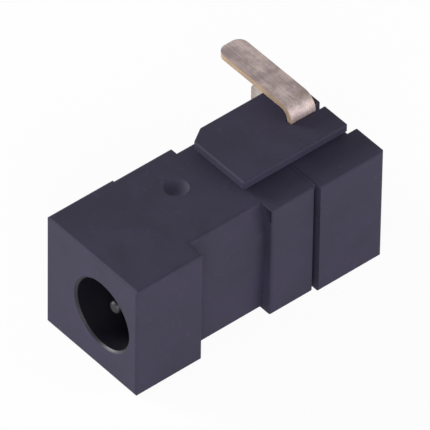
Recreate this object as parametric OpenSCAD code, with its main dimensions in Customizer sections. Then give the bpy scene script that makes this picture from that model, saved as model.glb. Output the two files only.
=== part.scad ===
// Side-entry dc barrel jack for a 2.5 mm barrel plug with a 0.7 mm centre hole.
// It lies on its plain side. The face at the low end of X is the one that meets the board,
// and the three solder tails leave through it. The plug enters along +Y.

/* [Body] */
// Width from the board face to the outer face
body_w = 6.6; // [6.2:0.1:8.4]
// Height from the plain side to the terminal side
body_h = 6.75; // [6.2:0.05:8.6]
// Length from the mouth face to the rear face
body_l = 15.1; // [12.6:0.05:18.2]
// Radius on the moulded edges
edge_r = 0.15; // [0.08:0.01:0.2]
// Radius on the rear cover's upright corners
corner_r = 0.3; // [0.15:0.05:0.5]

/* [Socket] */
// Wide mouth that takes the moulded nose of the plug
mouth_d = 3.8; // [3.2:0.05:4.6]
// Depth of the wide mouth
mouth_depth = 3.2; // [2.4:0.1:3.8]
// Bore that takes the plug barrel
bore_d = 2.6; // [2.2:0.05:2.9]
// Distance from the bore axis to the outer face
axis_inset = 2.56; // [2.5:0.02:3]
// Height of the bore axis
axis_h = 3.4; // [2.9:0.05:4.2]
// Length of the cover's spigot that closes the bore
spigot_l = 0.85; // [0.5:0.05:1.2]
// Chamfer that leads the plug in
mouth_chamfer = 0.12; // [0.05:0.01:0.25]
// Free end of the centre pin
pin_d = 0.7; // [0.5:0.02:0.9]
// How far the pin's tip lies behind the mouth
pin_recess = 0.7; // [0.4:0.1:2]

/* [Housing form] */
// Length of the full-width collar at the mouth
collar_l = 4; // [3:0.1:5]
// Step behind the collar on the board side
board_step = 0.1; // [0.05:0.01:0.2]
// Length from the mouth to the deeper step on the board side
relief_start = 7.4; // [6:0.1:8]
// Depth of that deeper step
relief_depth = 0.5; // [0.3:0.02:0.55]
// Depth of the recess in the outer face, at the plain side
recess_depth = 0.9; // [0.6:0.02:1]
// Length of the recess along the body
recess_l = 4.35; // [3:0.05:4.8]
// Height of the ridge in the recess where the two drafts meet
ridge_h = 4.7; // [3.5:0.1:5.5]
// How far the ridge stands out of the recess
ridge_out = 0.18; // [0.05:0.01:0.3]
// Inset of the outer face between the recess and the cover
waist_inset = 0.2; // [0.1:0.02:0.3]
// Round dimple in the terminal side
dimple_d = 1.25; // [0.6:0.05:1.6]
// Depth of the dimple
dimple_depth = 0.25; // [0.1:0.01:0.4]

/* [Rear cover] */
// Length of the cover's block behind the joint line
cover_l = 4.1; // [3.8:0.05:5]
// Width of the groove along the joint line
groove_w = 0.25; // [0.15:0.01:0.4]
// Depth of that groove below the housing's face
groove_depth = 0.35; // [0.2:0.01:0.45]
// Thickness of the cover's tongue above the terminal side
tongue_h = 0.65; // [0.45:0.01:0.9]
// Height of the rebate under the tongue's free edges
rebate_h = 0.22; // [0.1:0.01:0.3]
// Depth of the rebate
rebate_depth = 0.35; // [0.2:0.01:0.5]
// Tongue's edge on the board side
tongue_inset = 0.42; // [0.3:0.02:0.8]
// Width of the tongue
tongue_w = 4.2; // [3.8:0.02:4.6]
// How far the tongue reaches over the housing
tongue_reach = 2.9; // [1.5:0.1:3.5]
// Cut across the tongue's corner at the board side, along X
tongue_cut_x = 0.58; // [0.3:0.02:0.9]
// The same cut, along Y
tongue_cut_y = 0.9; // [0.4:0.05:1.3]
// How far the tongue stops short of the rear face
tongue_setback = 0.65; // [0.2:0.05:0.8]
// Height of the notch behind the tongue, above the plain side
notch_floor = 5.2; // [4.8:0.05:6]
// Edge of that notch on the outer side
notch_x = 4.6; // [4.2:0.05:5.4]

/* [Contacts] */
// Thickness of the two solder strips
strip_t = 0.3; // [0.2:0.01:0.35]
// Width of the two solder strips
strip_w = 1.5; // [1.1:0.05:1.7]
// Outer radius of the switch strip's bend
bend_r = 0.8; // [0.6:0.05:0.9]
// Gap between the switch strip and the tongue below it
strip_lift = 0.5; // [0.3:0.05:0.7]
// How far the switch tail reaches past the board face
switch_tail = 2.54; // [1.8:0.02:3.5]
// How far the centre tail reaches past the board face
centre_tail = 3.1; // [2:0.05:3.6]
// How far the sleeve tail reaches past the board face
sleeve_tail = 2.4; // [1.8:0.1:2.6]
// Thickness of the sleeve spring
spring_t = 0.25; // [0.15:0.01:0.3]
// Width of the sleeve spring
spring_w = 2.2; // [1.6:0.05:2.4]
// How far the sleeve spring stands into the bore
spring_reach = 0.25; // [0.1:0.01:0.3]

/* [Hidden] */
$fn = 48;
eps = 0.01;
past = 1;

// Clearances
contact_clearance = 0.06;
lead_in = 0.3;
press_clearance = 0.01;
spigot_clearance = 0.03;
switch_gap = 0.04;

// Places along the body
joint_y = body_l - cover_l;
flange_t = 0.35;
bore_depth = joint_y - spigot_l - flange_t;
recess_end = collar_l + recess_l;
axis_x = body_w - axis_inset;
tongue_front = joint_y - tongue_reach;
tongue_back = body_l - tongue_setback;
tongue_r = 0.1;
dimple_inset = 4.28;
dimple_x = body_w - dimple_inset;
dimple_setback = 2.17;
dimple_y = tongue_front - dimple_setback;

// Outer wall of the recess, which drafts both ways from its ridge
recess_wall = body_w - recess_depth;
recess_draft = 0.08;
waist_wall = body_w - waist_inset;

// Triangular pocket in the shoulder behind the recess
pocket_skin = 0.1;
pocket_h = 0.85;
pocket_l = 1.6;

// Switch strip: a leg that stands beside the pin, with its bend above the tongue
shank_step = 0.4;
shank_d = pin_d + shank_step;
leg_gap = 0.54;
leg_inset = 2.7;
leg_face = axis_x - shank_d / 2 - leg_gap;
leg_y = body_l - leg_inset;
strip_top = body_h + tongue_h + strip_lift + strip_t;
bend_x = leg_face - bend_r;
leg_foot = axis_h - strip_w / 2;
slot_depth = 0.3;

// Centre pin and the rivet that holds its terminal
nose_r = 0.22;
flange_step = 0.6;
flange_d = shank_d + flange_step;
rivet_d = shank_d + flange_step;
rivet_h = 0.25;
rivet_chamfer = 0.1;
eye_margin = 0.35;
overall_l = body_l + strip_t + rivet_h;

// Sleeve spring: base on the board side, folded at the mouth end, leaf towards the rear
base_wall = 0.42;
base_x = relief_depth + base_wall;
fold_in = 0.25;
fold_out = fold_in + spring_t;
fold_y = collar_l + 1;
leaf_x = base_x + spring_t + 2 * fold_in;
crest_x = axis_x - bore_d / 2 + spring_reach;
crest_back = 1.8;
crest_y = bore_depth - crest_back;
tip_setback = 0.05;
tip_x = leg_face - strip_t - switch_gap - tip_setback;
tip_past = 0.6;
tip_y = leg_y + tip_past;
spring_gap = 0.1;
tip_gap = 0.3;
slit_w = 0.6;
rib_gap = 0.2;
rib_t = 0.4;
rib_start = 0.3;
rib_inset = 1.3;
rib_h = strip_t * 0.7;
tail_w = 1.2;
tail_r = 0.3;
tail_y = relief_start + contact_clearance;
tail_z = axis_h - spring_w / 2;
cavity_w = spring_w + 2 * contact_clearance;
cavity_x = base_x - contact_clearance;

function arc_points(c, r, a0, a1, steps) =
    [for (i = [0 : steps]) let (a = a0 + (a1 - a0) * i / steps) c + r * [cos(a), sin(a)]];

// Everything is drawn from the corner at the mouth and the board face, and moved so that
// the origin lies under the middle of the whole part.
module in_place() {
    translate([(centre_tail - body_w) / 2, -overall_l / 2, 0])
        children();
}

module span(low, high) {
    translate(low)
        cube(high - low);
}

module rounded_rect(low, high, r) {
    translate(low + [r, 0])
        square(high - low - [2 * r, 0]);
    translate(low + [0, r])
        square(high - low - [0, 2 * r]);
    for (x = [low.x + r, high.x - r], y = [low.y + r, high.y - r])
        translate([x, y])
            circle(r);
}

// Extrudes an outline drawn in X and Z along Y
module along_y(y0, y1) {
    translate([0, y1, 0])
        rotate([90, 0, 0])
            linear_extrude(y1 - y0)
                children();
}

// Extrudes an outline drawn in Y and Z along X
module along_x(x0, x1) {
    translate([x0, 0, 0])
        rotate([90, 0, 90])
            linear_extrude(x1 - x0)
                children();
}

// Extrudes an outline drawn in X and Y upwards
module along_z(z0, z1) {
    translate([0, 0, z0])
        linear_extrude(z1 - z0)
            children();
}

// A block with every edge rounded, and its upright edges by a radius of their own
module soft_block(low, high, r = edge_r, upright_r = edge_r) {
    intersection() {
        along_y(low.y, high.y)
            rounded_rect([low.x, low.z], [high.x, high.z], r);
        along_x(low.x, high.x)
            rounded_rect([low.y, low.z], [high.y, high.z], r);
        along_z(low.z, high.z)
            rounded_rect([low.x, low.y], [high.x, high.y], upright_r);
    }
}

// A cylinder on the bore axis
module on_axis(y0, y1, d0, d1 = undef) {
    translate([axis_x, y1, axis_h])
        rotate([90, 0, 0])
            cylinder(h = y1 - y0, d1 = is_undef(d1) ? d0 : d1, d2 = d0);
}

// The rounded board-side half of a cross-section, from the plain side to the terminal side
function board_side(board_x) = concat(
    arc_points([board_x + edge_r, edge_r], edge_r, 270, 180, 4),
    arc_points([board_x + edge_r, body_h - edge_r], edge_r, 180, 90, 4)
);

// Cross-section of the recessed stretch: the outer wall drafts both ways from its ridge
module waist_section(board_x) {
    polygon(concat(
        board_side(board_x),
        arc_points([recess_wall - recess_draft - edge_r, body_h - edge_r], edge_r, 90, 8, 4),
        [[recess_wall + ridge_out, ridge_h]],
        arc_points([recess_wall - edge_r, edge_r], edge_r, 0, -90, 4)
    ));
}

// Cross-section of the stretch between the recess and the cover
module shoulder_section() {
    polygon(concat(
        board_side(relief_depth),
        arc_points([waist_wall - edge_r, body_h - edge_r], edge_r, 90, 0, 4),
        arc_points([waist_wall - edge_r, edge_r], edge_r, 0, -90, 4)
    ));
}

module shoulder() {
    intersection() {
        along_y(recess_end, joint_y)
            shoulder_section();
        along_z(-past, body_h + past)
            polygon(concat(
                [[-past, joint_y + past], [-past, recess_end]],
                arc_points([waist_wall - edge_r, recess_end + edge_r], edge_r, -90, 0, 4),
                [[waist_wall, joint_y + past]]
            ));
    }
}

// Groove round the joint line, open to the plain side, the outer face and the terminal side
module joint_groove() {
    half = groove_w / 2;
    floor_x = waist_wall - groove_depth;
    difference() {
        span([base_x + spring_t, joint_y - half, -past], [body_w + past, joint_y + half, body_h + past]);
        span([0, joint_y - past, groove_depth], [floor_x, joint_y + past, body_h - groove_depth]);
    }
}

// Room for the sleeve spring: a slot that breaks into the bore and runs on into the cover
module spring_room() {
    low_z = axis_h - cavity_w / 2;
    high_z = axis_h + cavity_w / 2;
    span([cavity_x, fold_y - fold_out - spring_gap, low_z], [crest_x + spring_gap, joint_y + eps, high_z]);
    span([cavity_x, bore_depth + flange_t - eps, low_z], [leg_face - spring_gap, leg_y - spring_gap, high_z]);
    span([cavity_x, joint_y, low_z], [leg_face - strip_t, tip_y + tip_gap, high_z]);
}

// The sleeve tail slides in from the rear along this slit in the board-side wall
module tail_slit() {
    span([-past, relief_start, tail_z - spring_t - contact_clearance],
         [base_x + slit_w, joint_y + past, tail_z + contact_clearance]);
}

// Triangular pocket in the front of the stretch behind the recess
module latch_pocket() {
    outer = waist_wall - pocket_skin;
    top = body_h - pocket_skin;
    along_y(recess_end - past, recess_end + pocket_l)
        polygon([[recess_wall, top], [outer, top], [outer, top - pocket_h]]);
}

// A shallow bowl with a small flat at its middle
module dimple() {
    rim_r = dimple_d / 2;
    bowl_r = (rim_r * rim_r + dimple_depth * dimple_depth) / (2 * dimple_depth);
    rim_angle = asin(rim_r / bowl_r) - 90;
    bowl = arc_points([0, bowl_r - dimple_depth], bowl_r, -82, rim_angle, 6);
    translate([dimple_x, dimple_y, body_h])
        rotate_extrude()
            polygon(concat([[0, past], [0, bowl[0].y]], bowl, [[rim_r, past]]));
}

module housing() color("#3b3846") in_place() difference() {
    union() {
        soft_block([0, 0, 0], [body_w, collar_l, body_h]);
        along_y(collar_l - past, relief_start)
            waist_section(board_step);
        along_y(relief_start - past, recess_end)
            waist_section(relief_depth);
        shoulder();
    }
    on_axis(-past, mouth_depth, mouth_d);
    on_axis(mouth_depth - past, joint_y + past, bore_d);
    on_axis(0, mouth_chamfer, mouth_d + 2 * mouth_chamfer, mouth_d);
    on_axis(mouth_depth, mouth_depth + lead_in, bore_d + 2 * lead_in, bore_d);
    spring_room();
    tail_slit();
    latch_pocket();
    dimple();
    joint_groove();
}

// Outline of the tongue, drawn in from its outer and front edges, with its corner cut off
module tongue_outline(inset = 0) {
    right_x = tongue_inset + tongue_w - inset;
    front_y = tongue_front + inset;
    polygon([
        [tongue_inset, tongue_back], [right_x, tongue_back], [right_x, front_y],
        [tongue_inset + tongue_cut_x, front_y], [tongue_inset, front_y + tongue_cut_y]
    ]);
}

module tongue() {
    low = [tongue_inset, tongue_front, body_h - past];
    high = [tongue_inset + tongue_w, tongue_back, body_h + tongue_h];
    intersection() {
        soft_block(low, high, tongue_r, tongue_r);
        along_z(body_h + rebate_h, body_h + tongue_h + eps)
            tongue_outline();
    }
    along_z(body_h, body_h + rebate_h)
        tongue_outline(rebate_depth);
}

// Notch across the back of the tongue, open to the rear and to the board side
module rear_notch() {
    span([-past, tongue_back, notch_floor], [notch_x, body_l + past, body_h + past]);
}

// Two low ribs keep the centre terminal from turning
module rear_ribs() {
    for (side = [-1, 1])
        translate([0, 0, axis_h + side * (strip_w / 2 + contact_clearance + rib_gap)])
            span([rib_start, body_l - eps, -rib_t / 2], [axis_x - rib_inset, body_l + rib_h, rib_t / 2]);
}

// The leg drops in from above, and the slot runs out to the notch behind it
module leg_slot() {
    gap = contact_clearance;
    low_x = leg_face - strip_t - gap;
    high_x = leg_face + gap;
    span([low_x, leg_y - gap, leg_foot - gap], [high_x, leg_y + strip_w + gap, body_h + past]);
    span([low_x, leg_y, body_h - slot_depth], [high_x, body_l, body_h + past]);
}

module cover_block() {
    difference() {
        intersection() {
            soft_block([0, recess_end, 0], [body_w, body_l, body_h], edge_r, corner_r);
            span([-past, joint_y, -past], [body_w + past, body_l + past, body_h + past]);
        }
        joint_groove();
    }
}

module rear_cover() color("#3b3846") in_place() difference() {
    union() {
        cover_block();
        tongue();
        on_axis(bore_depth + flange_t, joint_y + eps, bore_d - 2 * spigot_clearance);
        rear_ribs();
    }
    on_axis(bore_depth - past, body_l + past, shank_d + 2 * press_clearance);
    spring_room();
    leg_slot();
    rear_notch();
}

module centre_pin() color("#c9c6c0") in_place() {
    tip = pin_recess;
    translate([axis_x, 0, axis_h])
        rotate([-90, 0, 0])
            rotate_extrude()
                polygon(concat(
                    [[0, tip]],
                    arc_points([pin_d / 2 - nose_r, tip + nose_r], nose_r, -90, 0, 6),
                    [
                        [pin_d / 2, bore_depth], [flange_d / 2, bore_depth],
                        [flange_d / 2, bore_depth + flange_t], [shank_d / 2, bore_depth + flange_t],
                        [shank_d / 2, body_l + strip_t], [rivet_d / 2, body_l + strip_t],
                        [rivet_d / 2, overall_l - rivet_chamfer], [rivet_d / 2 - rivet_chamfer, overall_l],
                        [0, overall_l]
                    ]
                ));
}

// Flat strip on the rear face, with an eye for the pin's rivet and a rounded solder end
module centre_terminal() color("#b9b3ab") in_place() {
    eye_r = strip_w / 2 + eye_margin;
    end_r = 0.3 * strip_w;
    difference() {
        along_y(body_l, body_l + strip_t) {
            translate([axis_x, axis_h])
                circle(eye_r);
            translate([end_r - centre_tail, axis_h - strip_w / 2])
                square([axis_x + centre_tail - end_r, strip_w]);
            rounded_rect([-centre_tail, axis_h - strip_w / 2], [0, axis_h + strip_w / 2], end_r);
        }
        on_axis(body_l - past, body_l + strip_t + past, shank_d + 2 * press_clearance);
    }
}

// A straight stretch of spring between two points of its centre line
module spring_run(a, b) {
    d = b - a;
    translate(a)
        rotate(atan2(d.y, d.x))
            translate([0, -spring_t / 2])
                square([norm(d), spring_t]);
}

module sleeve_contact() color("#c4a265") in_place() {
    half = spring_t / 2;
    start = [leaf_x + half, fold_y];
    crest = [crest_x - half, crest_y];
    tip = [tip_x - half, tip_y];
    along_z(axis_h - spring_w / 2, axis_h + spring_w / 2) {
        difference() {
            translate([base_x + fold_out, fold_y])
                circle(fold_out);
            translate([base_x + fold_out, fold_y])
                circle(fold_in);
            translate([base_x - past, fold_y])
                square([3, 3]);
        }
        translate([base_x, fold_y - eps])
            square([spring_t, tip_y - fold_y]);
        spring_run(start - [0, eps], crest);
        spring_run(crest, tip);
        for (bend = [start, crest])
            translate(bend)
                circle(half);
    }
    along_z(tail_z - spring_t, tail_z) {
        rounded_rect([-sleeve_tail, tail_y], [0, tail_y + tail_w], tail_r);
        translate([tail_r - sleeve_tail, tail_y])
            square([sleeve_tail - tail_r + base_x + spring_t, tail_w]);
    }
}

// Stamped strip: the leg stands in the cover, the bend lies above the tongue and the tail
// runs over the tongue and past the board face
module switch_contact() color("#a9a29e") in_place() {
    end_r = 0.35 * strip_w;
    along_z(strip_top - strip_t, strip_top) {
        rounded_rect([-switch_tail, leg_y], [0, leg_y + strip_w], end_r);
        translate([end_r - switch_tail, leg_y])
            square([bend_x + switch_tail - end_r, strip_w]);
    }
    translate([bend_x, leg_y + strip_w, strip_top - bend_r])
        rotate([90, 0, 0])
            quarter_bend();
    span([leg_face - strip_t, leg_y, leg_foot], [leg_face, leg_y + strip_w, strip_top - bend_r + eps]);
}

module quarter_bend() {
    linear_extrude(strip_w)
        intersection() {
            difference() {
                circle(bend_r);
                circle(bend_r - strip_t);
            }
            square(bend_r + past);
        }
}

housing();
rear_cover();
centre_pin();
centre_terminal();
sleeve_contact();
switch_contact();
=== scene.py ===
from math import cos, pi, radians, sin

import bmesh
import bpy
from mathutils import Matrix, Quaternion, Vector


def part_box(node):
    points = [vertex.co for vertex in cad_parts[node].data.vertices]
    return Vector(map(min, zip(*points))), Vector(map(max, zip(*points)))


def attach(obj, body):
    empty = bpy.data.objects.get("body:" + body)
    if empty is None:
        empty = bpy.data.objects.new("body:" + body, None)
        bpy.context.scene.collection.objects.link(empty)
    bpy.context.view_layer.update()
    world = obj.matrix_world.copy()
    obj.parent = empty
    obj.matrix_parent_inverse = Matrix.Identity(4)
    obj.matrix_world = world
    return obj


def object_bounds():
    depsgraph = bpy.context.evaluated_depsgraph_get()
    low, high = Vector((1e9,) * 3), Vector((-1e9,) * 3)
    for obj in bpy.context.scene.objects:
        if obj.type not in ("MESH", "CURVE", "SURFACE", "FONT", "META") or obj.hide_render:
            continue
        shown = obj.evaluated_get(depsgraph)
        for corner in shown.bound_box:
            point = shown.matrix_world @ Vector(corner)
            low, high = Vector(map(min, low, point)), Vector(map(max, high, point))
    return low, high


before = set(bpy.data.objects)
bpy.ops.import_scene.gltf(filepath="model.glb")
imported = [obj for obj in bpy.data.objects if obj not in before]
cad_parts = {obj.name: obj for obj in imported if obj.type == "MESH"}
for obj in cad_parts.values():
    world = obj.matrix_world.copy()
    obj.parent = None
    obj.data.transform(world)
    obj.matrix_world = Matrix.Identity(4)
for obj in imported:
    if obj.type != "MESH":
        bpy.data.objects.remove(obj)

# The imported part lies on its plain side, with the mouth at -Y and the board face at -X.
scene = bpy.context.scene
cad_low, cad_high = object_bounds()
middle = (cad_low + cad_high) / 2

# ---------------------------------------------------------------- camera
# A long lens half a metre away looks down on the mouth and the outer face. The part sits a
# little to the left of the centre and above it, and the camera is rolled by under a degree.
camera_turn = radians(49.39)
camera_tilt = radians(43.80)
camera_roll = radians(0.89)
camera_distance = 0.5
width_seen = 0.020114
toward_camera = Vector((sin(camera_turn) * cos(camera_tilt),
                        -cos(camera_turn) * cos(camera_tilt),
                        sin(camera_tilt)))
camera_facing = (-toward_camera).to_track_quat("-Z", "Y") @ Quaternion((0, 0, 1), camera_roll)
aim_offset = camera_facing @ Vector((0.000740, -0.000508, 0.000659))

camera = bpy.data.objects.new("camera", bpy.data.cameras.new("camera"))
camera.data.sensor_width = 36
camera.data.lens = 36 * camera_distance / width_seen
camera.data.clip_start = 0.01
camera.data.clip_end = 20
camera.location = middle + aim_offset + toward_camera * camera_distance
camera.rotation_mode = "QUATERNION"
camera.rotation_quaternion = camera_facing
scene.collection.objects.link(camera)
scene.camera = camera

# ---------------------------------------------------------------- studio light
# One soft box stands low on the board side, one low behind the outer face, and a third, to the
# right of the camera, fills in the steps that face the mouth.
scene.view_settings.view_transform = "Standard"
box_distance = 0.25


def soft_box(name, side, wide, level):
    """A square lamp that looks at the part from that side. Level 1 shows a colour as written."""
    box = bpy.data.objects.new(name, bpy.data.lights.new(name, "AREA"))
    box.data.shape = "SQUARE"
    box.data.size = wide
    box.data.energy = level * (pi * box_distance) ** 2
    stands = Vector(side).normalized()
    box.location = middle + stands * box_distance
    box.rotation_euler = stands.to_track_quat("Z", "Y").to_euler()
    scene.collection.objects.link(box)


soft_box("left_front_box", (-0.84, -0.46, 0.32), 0.10, 0.86)
soft_box("right_rear_box", (0.78, 0.52, 0.30), 0.16, 0.28)
soft_box("fill_box", (0.66, -0.62, 0.42), 0.16, 0.55)

# ---------------------------------------------------------------- floor
# A sheet of white paper that runs out under the tent. It takes the part's soft shadow, and the
# tent over it is white at the horizon and dims overhead.


class Sock:
    """A value on its way through a finish. A sum written with it adds its maths nodes."""

    def __init__(self, finish, end):
        self.finish = finish
        self.end = end

    def maths(self, operation, first, second):
        return self.finish.node("ShaderNodeMath", {"operation": operation}, {0: first, 1: second})

    def __add__(self, other):
        return self.maths("ADD", self, other)

    def __radd__(self, other):
        return self.maths("ADD", other, self)

    def __sub__(self, other):
        return self.maths("SUBTRACT", self, other)

    def __rsub__(self, other):
        return self.maths("SUBTRACT", other, self)

    def __mul__(self, other):
        return self.maths("MULTIPLY", self, other)

    def __rmul__(self, other):
        return self.maths("MULTIPLY", other, self)


class Finish:
    """A material, or the world, built up node by node."""

    def __init__(self, owner):
        self.owner = owner
        owner.use_nodes = True
        self.tree = owner.node_tree
        self.tree.nodes.clear()

    def node(self, kind, settings=None, sockets=None, out=0):
        """Adds a node, sets it up and returns the end that was asked for."""
        made = self.tree.nodes.new(kind)
        for name, value in (settings or {}).items():
            if name == "stops":
                while len(made.color_ramp.elements) < len(value):
                    made.color_ramp.elements.new(0.5)
                for element, (place, colour) in zip(made.color_ramp.elements, value):
                    element.position = place
                    element.color = colour
            else:
                setattr(made, name, value)
        for name, value in (sockets or {}).items():
            if isinstance(value, Sock):
                self.tree.links.new(value.end, made.inputs[name])
            else:
                made.inputs[name].default_value = value
        return Sock(self, made.outputs[out]) if made.outputs else made

    def step(self, value, low, high):
        """0 below low and 1 above high, with a smooth way between."""
        return self.node("ShaderNodeMapRange", {"interpolation_type": "SMOOTHSTEP"},
                         {0: value, 1: low, 2: high, 3: 0, 4: 1})

    def blend(self, share, first, second):
        """The first colour where the share is 0 and the second where it is 1."""
        return self.node("ShaderNodeMix", {"data_type": "RGBA"}, {0: share, 6: first, 7: second}, 2)

    def surface(self, shader):
        self.node("ShaderNodeOutputMaterial", None, {"Surface": shader})
        return self.owner


# The floor is white paper. The camera sees it almost wholly white. A face that mirrors it sees
# half of that white and half of the paper as the lamps light it, with the part's own shadow.
paper = Finish(bpy.data.materials.new("white_paper"))
seen_rays = [paper.node("ShaderNodeLightPath", None, None, ray)
             for ray in ("Is Camera Ray", "Is Glossy Ray", "Is Transmission Ray")]
matt_paper = paper.node("ShaderNodeBsdfDiffuse", None, {"Color": (0.9, 0.9, 0.9, 1)})
lit_paper = paper.node("ShaderNodeEmission", None, {"Color": (1, 1, 1, 1), "Strength": 1})
seen_white = 0.94
mirrored_white = 0.5
white_share = seen_rays[0] * seen_white + (seen_rays[1] + seen_rays[2]) * mirrored_white

floor_mesh = bmesh.new()
floor_half = 1.5
bmesh.ops.create_grid(floor_mesh, x_segments=1, y_segments=1, size=floor_half)
floor_shape = bpy.data.meshes.new("floor")
floor_mesh.to_mesh(floor_shape)
floor_mesh.free()
floor_shape.materials.append(paper.surface(
    paper.node("ShaderNodeMixShader", None, {0: white_share, 1: matt_paper, 2: lit_paper})))
floor = bpy.data.objects.new("floor", floor_shape)
scene.collection.objects.link(floor)

tent = Finish(bpy.data.worlds.new("white_tent"))
scene.world = tent.owner
sky = tent.node("ShaderNodeSeparateXYZ", None,
                {0: tent.node("ShaderNodeTexCoord", None, None, "Generated")}, "Z")
tent_wall = tent.node("ShaderNodeValToRGB",
                      {"stops": [(0.1, (1, 1, 1, 1)), (0.9, (0.3, 0.3, 0.3, 1))]}, {0: sky})
tent.node("ShaderNodeOutputWorld", None,
          {"Surface": tent.node("ShaderNodeBackground", None, {"Color": tent_wall, "Strength": 0.74})})

# ---------------------------------------------------------------- housing
# The block is injection moulded from glass-filled polyester, near black with a violet cast.
# The mould's sides are lightly spark eroded, which leaves a dull grain. The bore round the pin
# is the same plastic. Out to the chamfer at the mouth's rim it is painted with shade, at about a
# quarter of the colour, so that it reads as a deep hole, and it is given a smoother face. The
# cover and the contacts press into the block.
mouth_fade = (0.00195, 0.00204)
bore_fade = (0.00145, 0.0015)
mouth_back = (cad_low.y + 0.0035, cad_low.y + 0.0036)
pin_low, pin_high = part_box("centre_pin")
pin_x = (pin_low.x + pin_high.x) / 2
pin_z = (pin_low.z + pin_high.z) / 2


def scaled(tint, share):
    """The tint made lighter or darker, as a colour with its alpha."""
    return tuple(share * c for c in tint) + (1,)


def moulded_plastic(name, tint, seed):
    """A new finish, its Object coordinates, and the plastic's colour, roughness and relief."""
    finish = Finish(bpy.data.materials.new(name))
    place = finish.node("ShaderNodeTexCoord", None, None, "Object")
    there = finish.node("ShaderNodeVectorMath", {"operation": "ADD"}, {0: place, 1: (seed, seed, seed)})
    grain = finish.node("ShaderNodeTexNoise", None,
                        {"Vector": there, "Scale": 11000, "Detail": 3, "Roughness": 0.6})
    flow = finish.node("ShaderNodeTexNoise", None,
                       {"Vector": there, "Scale": 380, "Detail": 3, "Distortion": 0.8})
    fibre = finish.node("ShaderNodeTexNoise", None, {"Vector": there, "Scale": 2600, "Detail": 2})
    specks = finish.step(fibre, 0.62, 0.74)
    shade = finish.blend(finish.step(flow * 0.7 + grain * 0.3, 0.3, 0.7),
                         scaled(tint, 0.84), scaled(tint, 1.16))
    shade = finish.blend(specks * 0.18, shade, scaled(tint, 1.9))
    rough = 0.66 + flow * 0.12 + grain * 0.06 - specks * 0.05
    return finish, place, shade, rough, grain * 0.7 + fibre * 0.3


def plastic_shader(finish, shade, rough, relief):
    """Puts colour, roughness and relief together into the plastic's material."""
    bump = finish.node("ShaderNodeBump", None, {"Strength": 0.55, "Distance": 0.000008, "Height": relief})
    return finish.surface(finish.node("ShaderNodeBsdfPrincipled", None, {
        "Base Color": shade, "Roughness": rough, "Specular IOR Level": 0.46, "Normal": bump}))


plastic_tint = (0.027, 0.0222, 0.049)
block, place, shade, rough, relief = moulded_plastic("housing_plastic", plastic_tint, 0.0)
across = block.node("ShaderNodeVectorMath", {"operation": "MULTIPLY_ADD"},
                    {0: place, 1: (1, 0, 1), 2: (-pin_x, 0, -pin_z)})
from_pin = block.node("ShaderNodeVectorMath", {"operation": "LENGTH"}, {0: across}, "Value")
behind_mouth = block.step(block.node("ShaderNodeSeparateXYZ", None, {0: place}, "Y"),
                          *mouth_back)
in_mouth = (1 - block.step(from_pin, *mouth_fade)) * (1 - behind_mouth)
in_bore = in_mouth + (1 - block.step(from_pin, *bore_fade)) * behind_mouth
# Painted shade: inside the bore and the mouth the colour drops to about a quarter of the plastic's, so
# the hole reads as deep and dark.
painted_bore_shade = (0.007, 0.006, 0.011, 1)
bore_polish = 0.45
shade = block.blend(in_bore, shade, painted_bore_shade)
rough = rough * (1 - in_bore * bore_polish)
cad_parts["housing"].material_slots[0].material = plastic_shader(block, shade, rough, relief)

# ---------------------------------------------------------------- rear cover
# The lid is a second moulding in the same plastic. It closes the back, carries the raised
# tongue over the housing and clamps the contacts; it snaps into the housing along the groove.
lid, place, shade, rough, relief = moulded_plastic("cover_plastic", plastic_tint, 0.37)
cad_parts["rear_cover"].material_slots[0].material = plastic_shader(lid, shade, rough, relief)

# ---------------------------------------------------------------- joint lip
# A low moulded lip in the cover's plastic. It closes the joint's groove on the upper side,
# beside the tongue and a little way under it, and the groove stays open down the outer face.
lip_size = (0.00198, 0.00023, 0.00032)
lip_middle = (0.003525, 0.003175, 0.00658)
lip_round = 0.00003
lip_mesh = bmesh.new()
bmesh.ops.create_cube(lip_mesh, size=1)
bmesh.ops.scale(lip_mesh, vec=lip_size, verts=lip_mesh.verts)
bmesh.ops.bevel(lip_mesh, geom=lip_mesh.edges, offset=lip_round, affect="EDGES",
                segments=2, profile=0.5, material=-1)
bmesh.ops.translate(lip_mesh, vec=lip_middle, verts=lip_mesh.verts)
lip_shape = bpy.data.meshes.new("joint_lip")
lip_mesh.to_mesh(lip_shape)
lip_mesh.free()
lip_plastic, place, shade, rough, relief = moulded_plastic("lip_plastic", plastic_tint, 0.61)
lip_shape.materials.append(plastic_shader(lip_plastic, shade, rough, relief))
joint_lip = bpy.data.objects.new("joint_lip", lip_shape)
scene.collection.objects.link(joint_lip)
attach(joint_lip, "root")

# ---------------------------------------------------------------- centre pin
# A brass pin turned on a lathe and nickel plated, with a rounded tip. Its riveted shank holds
# it in the rear cover. The cutter leaves faint rings round it. The plating is bright on the
# rivet's head. The free end is painted dark as painted shade, so that it stays dim in the bore.
turned = Finish(bpy.data.materials.new("nickel_plate"))
place = turned.node("ShaderNodeTexCoord", None, None, "Object")
rings = turned.node("ShaderNodeTexWave", {"bands_direction": "Y"},
                    {"Vector": place, "Scale": 2600, "Distortion": 1.5, "Detail": 2})
cloud = turned.node("ShaderNodeTexNoise", None, {"Vector": place, "Scale": 1500, "Detail": 3})
mottle = cloud * 0.6 + rings * 0.2
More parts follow.
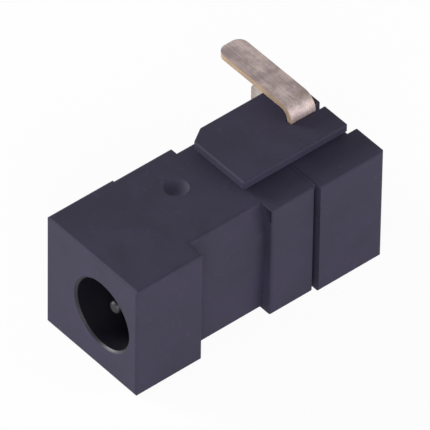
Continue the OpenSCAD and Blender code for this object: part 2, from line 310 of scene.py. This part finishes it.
# Painted shade: the free end's dark colour stands in for the shade in the bore; the rivet's head shows
# the real bright nickel.
painted_shade_tip = turned.blend(mottle, (0.05, 0.05, 0.056, 1), (0.10, 0.10, 0.11, 1))
bright = turned.blend(mottle, (0.42, 0.40, 0.38, 1), (0.60, 0.57, 0.54, 1))
head_fade = (0.0, 0.003)
at_head = turned.step(turned.node("ShaderNodeSeparateXYZ", None, {0: place}, "Y"), *head_fade)
shade = turned.blend(at_head, painted_shade_tip, bright)
bump = turned.node("ShaderNodeBump", None, {"Strength": 0.3, "Distance": 0.000003, "Height": rings})
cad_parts["centre_pin"].material_slots[0].material = turned.surface(
    turned.node("ShaderNodeBsdfPrincipled", None, {
        "Base Color": shade, "Metallic": 1, "Roughness": 0.40 + cloud * 0.14, "Normal": bump}))

# ---------------------------------------------------------------- switch contact
# A strip stamped from tinned brass and bent over the cover, with a rounded solder end. The tin
# is dull and mottled with fine lines along the strip; the sheared rims show the raw brass.
rim = 0.00003
strip_low, strip_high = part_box("switch_contact")
raw_brass = (0.50, 0.36, 0.20, 1)
warm_tin = (0.47, 0.37, 0.26, 1)


def tinned_brass(name, light, dark, raw_sides=None):
    """Tin over brass, rubbed along X. Raw sides are the places in Y of the two sheared rims."""
    finish = Finish(bpy.data.materials.new(name))
    place = finish.node("ShaderNodeTexCoord", None, None, "Object")
    along = finish.node("ShaderNodeVectorMath", {"operation": "MULTIPLY"}, {0: place, 1: (0.06, 1, 1)})
    lines = finish.node("ShaderNodeTexNoise", None, {"Vector": along, "Scale": 14000, "Detail": 3})
    cloud = finish.node("ShaderNodeTexNoise", None,
                        {"Vector": place, "Scale": 1100, "Detail": 4, "Roughness": 0.6})
    stain = finish.node("ShaderNodeTexNoise", None,
                        {"Vector": place, "Scale": 520, "Detail": 2, "Distortion": 1.2})
    shade = finish.blend(finish.step(cloud * 0.65 + lines * 0.35, 0.36, 0.64), dark, light)
    shade = finish.blend(finish.step(stain, 0.52, 0.68) * 0.35, shade, warm_tin)
    rough = 0.54 + cloud * 0.18
    if raw_sides:
        here = finish.node("ShaderNodeSeparateXYZ", None, {0: place}, "Y")
        raw = (1 - finish.step(here, raw_sides[0] + rim / 2, raw_sides[0] + rim)
               + finish.step(here, raw_sides[1] - rim, raw_sides[1] - rim / 2))
        shade = finish.blend(raw * (0.35 + cloud * 0.6), shade, raw_brass)
        rough = rough + raw * 0.1
    bump = finish.node("ShaderNodeBump", None,
                       {"Strength": 0.35, "Distance": 0.000006, "Height": lines * 0.5 + cloud})
    return finish.surface(finish.node("ShaderNodeBsdfPrincipled", None, {
        "Base Color": shade, "Metallic": 1, "Roughness": rough, "Normal": bump}))


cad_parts["switch_contact"].material_slots[0].material = tinned_brass(
    "tinned_strip", (0.82, 0.69, 0.66, 1), (0.50, 0.41, 0.41, 1), (strip_low.y, strip_high.y))

# ---------------------------------------------------------------- centre terminal
# A flat blank of the same tinned brass behind the cover. The pin's shank is riveted through
# its eye, and its tail leaves past the board face.
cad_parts["centre_terminal"].material_slots[0].material = tinned_brass(
    "tinned_terminal", (0.64, 0.57, 0.52, 1), (0.44, 0.38, 0.35, 1))

# ---------------------------------------------------------------- sleeve contact
# A leaf of bare phosphor bronze in the board side of the bore, which presses on the plug's
# barrel. It is rolled strip, so its grain runs along it, and its colour is a little uneven.
leaf = Finish(bpy.data.materials.new("spring_bronze"))
place = leaf.node("ShaderNodeTexCoord", None, None, "Object")
rolled = leaf.node("ShaderNodeVectorMath", {"operation": "MULTIPLY"}, {0: place, 1: (1, 0.05, 1)})
lines = leaf.node("ShaderNodeTexNoise", None, {"Vector": rolled, "Scale": 16000, "Detail": 3})
cloud = leaf.node("ShaderNodeTexNoise", None, {"Vector": place, "Scale": 700, "Detail": 3})
shade = leaf.blend(leaf.step(cloud * 0.6 + lines * 0.4, 0.35, 0.65),
                   (0.40, 0.25, 0.13, 1), (0.62, 0.42, 0.24, 1))
bump = leaf.node("ShaderNodeBump", None, {"Strength": 0.3, "Distance": 0.000004, "Height": lines})
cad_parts["sleeve_contact"].material_slots[0].material = leaf.surface(
    leaf.node("ShaderNodeBsdfPrincipled", None, {
        "Base Color": shade, "Metallic": 1, "Roughness": 0.3 + cloud * 0.15, "Normal": bump}))
